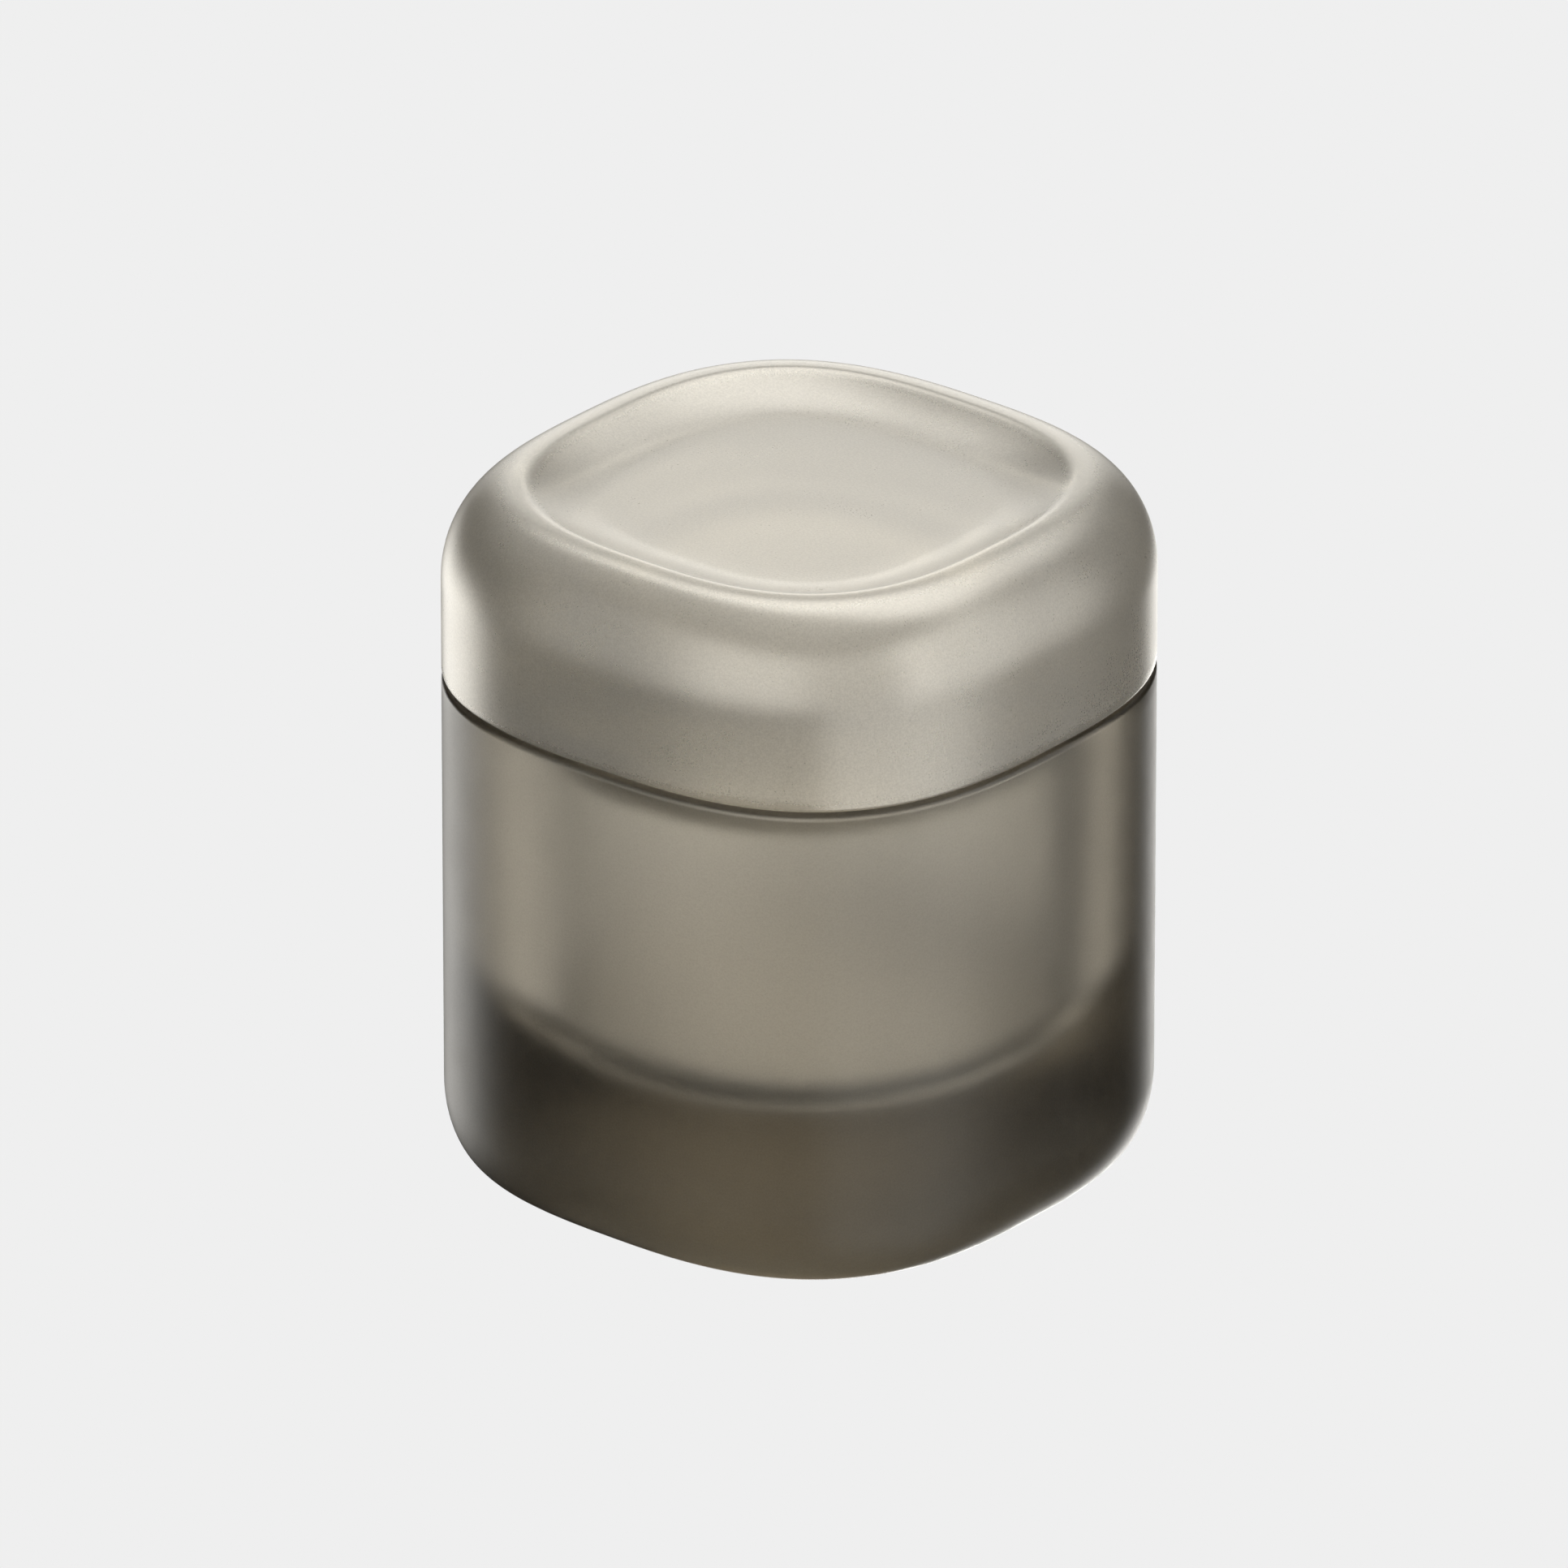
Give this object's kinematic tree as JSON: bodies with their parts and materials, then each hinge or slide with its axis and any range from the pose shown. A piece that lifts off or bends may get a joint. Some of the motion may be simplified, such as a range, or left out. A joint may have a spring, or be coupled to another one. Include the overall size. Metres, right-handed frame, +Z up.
{
  "type": "lidded dappen dish",
  "caption": "Thick frosted glass dish with a rounded-square outside, a rounded-square well and a dished lift-off lid with a plug and seal.",
  "frame": {"origin": "middle of the foot, on the plane that the dish stands on", "axes": "+Z up along the well's axis; the flat sides of the rounded-square outline face X and Y"},
  "size_m": [0.048, 0.048, 0.0538],
  "materials": {
    "smoked_frosted_glass": "olive-grey smoked glass, acid-frosted outside, satin, fine grain",
    "clear_frosted_glass": "warm pale glass, acid-frosted outside, satin, fine grain",
    "silicone": "translucent milky silicone, matt"
  },
  "bodies": {
    "dish": {"dish_body": "smoked_frosted_glass"},
    "lid": {"lid": "clear_frosted_glass", "seal_ring": "silicone"}
  },
  "joints": [
    {"name": "lid_lift", "type": "slide", "parent": "dish", "child": "lid", "axis": [0, 0, 1], "range_m": [0, 0.04]}
  ]
}
